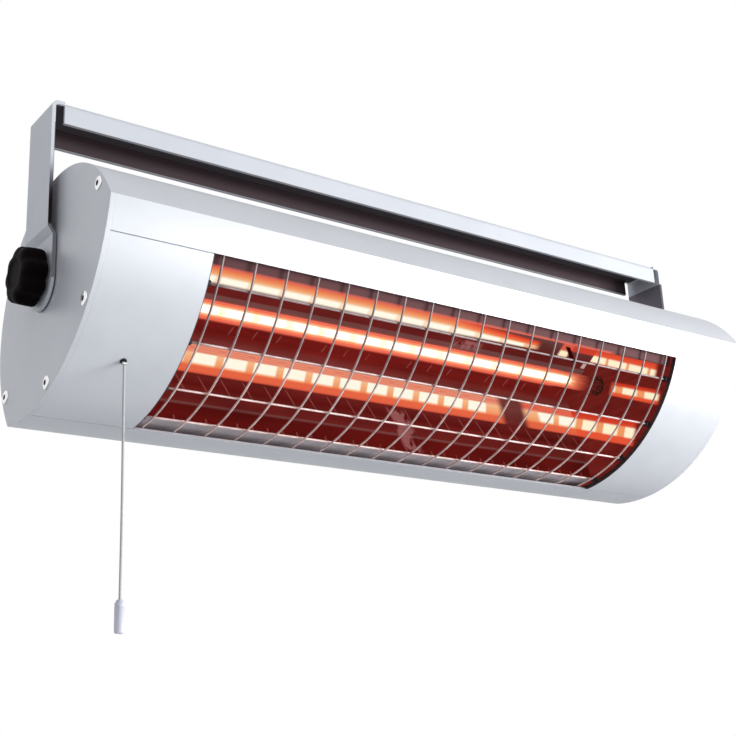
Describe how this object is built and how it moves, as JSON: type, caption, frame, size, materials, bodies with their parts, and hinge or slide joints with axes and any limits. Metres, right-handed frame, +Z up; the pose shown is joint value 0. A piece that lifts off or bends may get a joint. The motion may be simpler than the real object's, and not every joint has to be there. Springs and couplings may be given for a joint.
{
  "type": "infrared heater",
  "caption": "Tilting infrared heater: a lens-shaped body with a linear lamp behind a wire grille, held in a U bracket, with a pull-cord switch.",
  "frame": {"origin": "centre of the bracket's top face, midway between its two fixing holes", "axes": "+Z up towards the ceiling, -Y the side that the window faces, X along the body"},
  "size_m": [0.4828, 0.1497, 0.2764],
  "materials": {
    "bracket_coat": "satin powder coat",
    "body_coat": "satin silver-grey powder coat",
    "cap_coat": "satin powder coat",
    "bright_screw": "bright plated",
    "plated_steel": "zinc plated",
    "friction_pad": "matt",
    "reflector_sheet": "bright rolled, red in the lamp's glow",
    "end_mirror": "bright rolled",
    "grille_wire": "bright plated wire",
    "grille_sleeve": "dark",
    "quartz": "clear, glowing",
    "filament": "incandescent",
    "ceramic": "unglazed ceramic",
    "black_plastic": "fine texture",
    "lamp_lead": "silicone sleeve",
    "feed_lead": "silicone sleeve",
    "cord_braid": "braided nylon",
    "grip_plastic": "moulded",
    "knob_plastic": "moulded"
  },
  "bodies": {
    "bracket": {"mounting_bracket": "bracket_coat"},
    "heater": {"housing_shell": "body_coat", "left_front_cover": "body_coat", "right_front_cover": "body_coat", "left_end_cap": "cap_coat", "right_end_cap": "cap_coat", "left_cap_screws": "bright_screw", "right_cap_screws": "bright_screw", "left_pivot_insert": "plated_steel", "right_pivot_insert": "plated_steel", "left_friction_washer": "friction_pad", "right_friction_washer": "friction_pad", "main_reflector": "reflector_sheet", "left_end_reflector": "end_mirror", "right_end_reflector": "end_mirror", "heat_shield": "plated_steel", "grille_bars": "grille_wire", "grille_rails": "grille_wire", "grille_sleeves": "grille_sleeve", "lamp_tube": "quartz", "lamp_filament": "filament", "left_lamp_cap": "ceramic", "right_lamp_cap": "ceramic", "left_lamp_holder": "ceramic", "right_lamp_holder": "ceramic", "left_holder_bracket": "plated_steel", "right_holder_bracket": "plated_steel", "pull_switch": "ceramic", "switch_bracket": "plated_steel", "switch_spring": "plated_steel", "cord_eyelet": "black_plastic", "terminal_block": "ceramic", "terminal_screws": "bright_screw", "cable_gland": "black_plastic", "gland_nut": "black_plastic", "gland_cap": "black_plastic", "switch_wire": "lamp_lead", "lamp_wire": "lamp_lead", "feed_wire": "feed_lead"},
    "switch_plunger": {"switch_plunger": "plated_steel"},
    "pull_cord": {"pull_cord": "cord_braid", "cord_grip": "grip_plastic"},
    "left_knob": {"left_knob": "knob_plastic", "left_knob_stud": "plated_steel", "left_knob_washer": "plated_steel"},
    "right_knob": {"right_knob": "knob_plastic", "right_knob_stud": "plated_steel", "right_knob_washer": "plated_steel"}
  },
  "joints": [
    {"name": "heater_tilt", "type": "hinge", "parent": "bracket", "child": "heater", "pos_m": [0, 0, -0.09545], "axis": [1, 0, 0], "range_deg": [-50, 34]},
    {"name": "left_knob_turn", "type": "hinge", "parent": "heater", "child": "left_knob", "pos_m": [0, 0, -0.09545], "axis": [1, 0, 0], "continuous": true},
    {"name": "right_knob_turn", "type": "hinge", "parent": "heater", "child": "right_knob", "pos_m": [0, 0, -0.09545], "axis": [1, 0, 0], "continuous": true},
    {"name": "cord_pull", "type": "slide", "parent": "heater", "child": "switch_plunger", "axis": [0, -0.565, -0.8251], "range_m": [0, 0.006], "stiffness_N_per_m": 800, "springref_m": -0.004, "deforming": ["switch_spring"]},
    {"name": "cord_swing", "type": "hinge", "parent": "switch_plunger", "child": "pull_cord", "pos_m": [-0.1964, -0.03452, -0.14587], "axis": [1, 0, 0], "range_deg": [-60, 50]}
  ]
}
